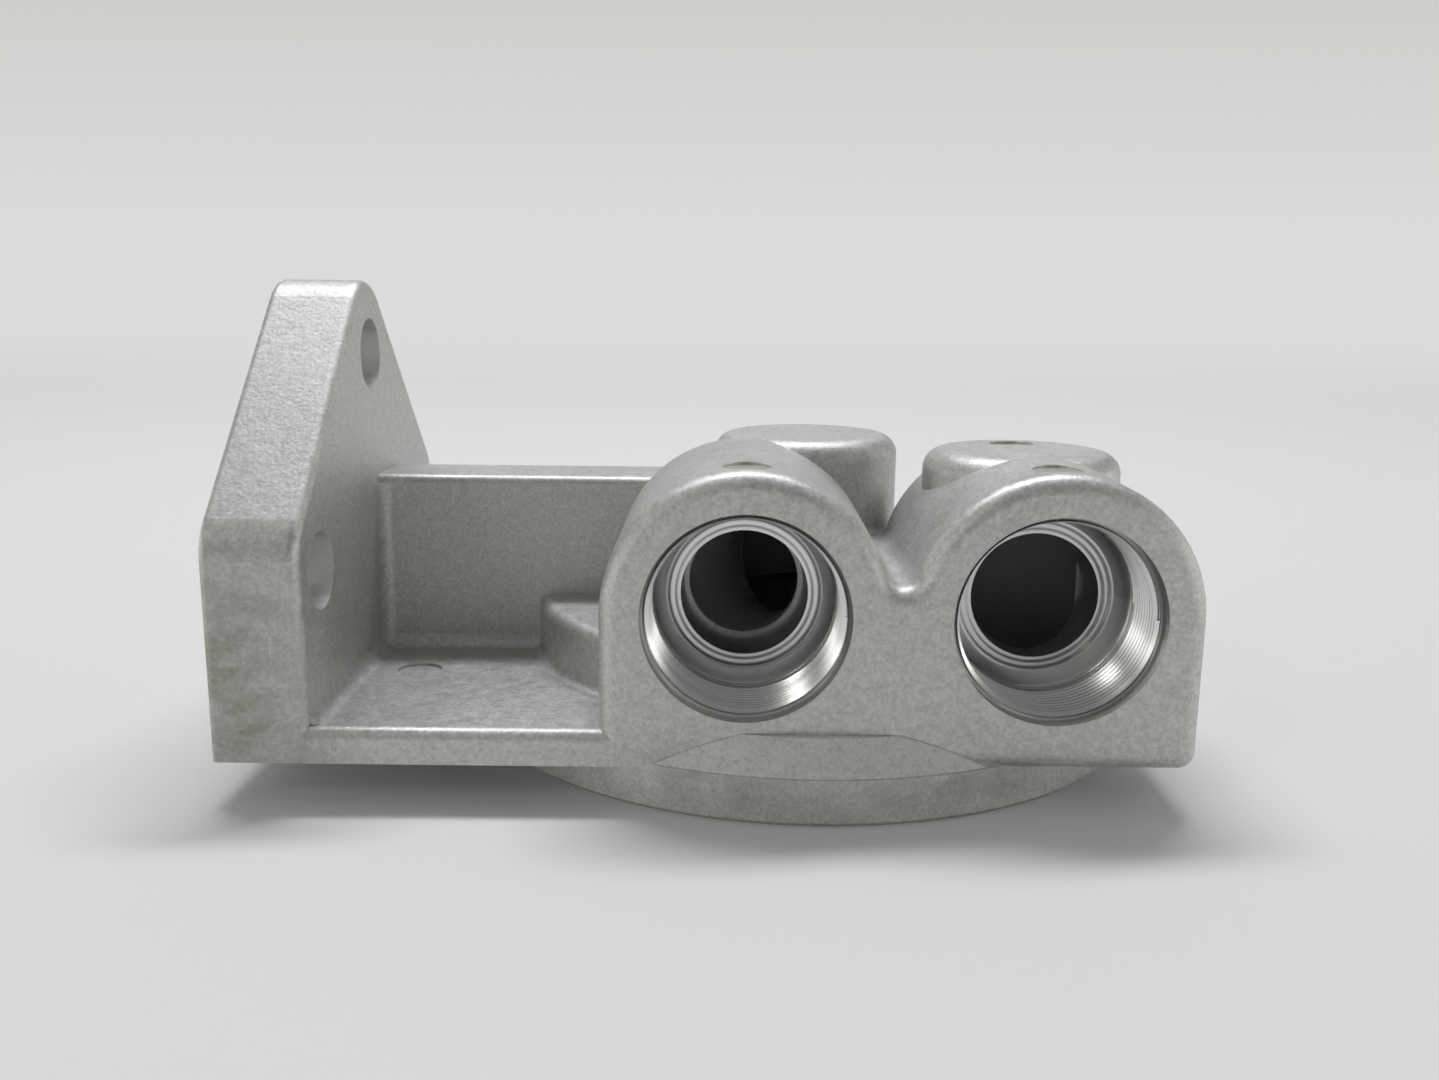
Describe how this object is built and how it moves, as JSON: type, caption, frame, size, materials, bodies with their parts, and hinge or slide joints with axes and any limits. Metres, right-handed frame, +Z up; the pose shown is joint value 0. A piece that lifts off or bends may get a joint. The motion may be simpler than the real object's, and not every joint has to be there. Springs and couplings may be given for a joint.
{
  "type": "spin-on filter head",
  "caption": "Cast aluminium spin-on filter head: round flange, side-by-side threaded ports on one face, mounting plate on a ribbed bracket.",
  "frame": {"origin": "centre of the filter seat: the filter's axis at the level of the gasket face that the head stands on", "axes": "+Z up along the filter's axis, away from the filter; the two hose ports open towards -Y; the mounting plate faces -X"},
  "size_m": [0.1279, 0.1, 0.0663],
  "materials": {
    "cast_aluminium": "as cast and shot blasted, with machined ports"
  },
  "bodies": {
    "root": {"filter_head": "cast_aluminium"}
  },
  "joints": []
}
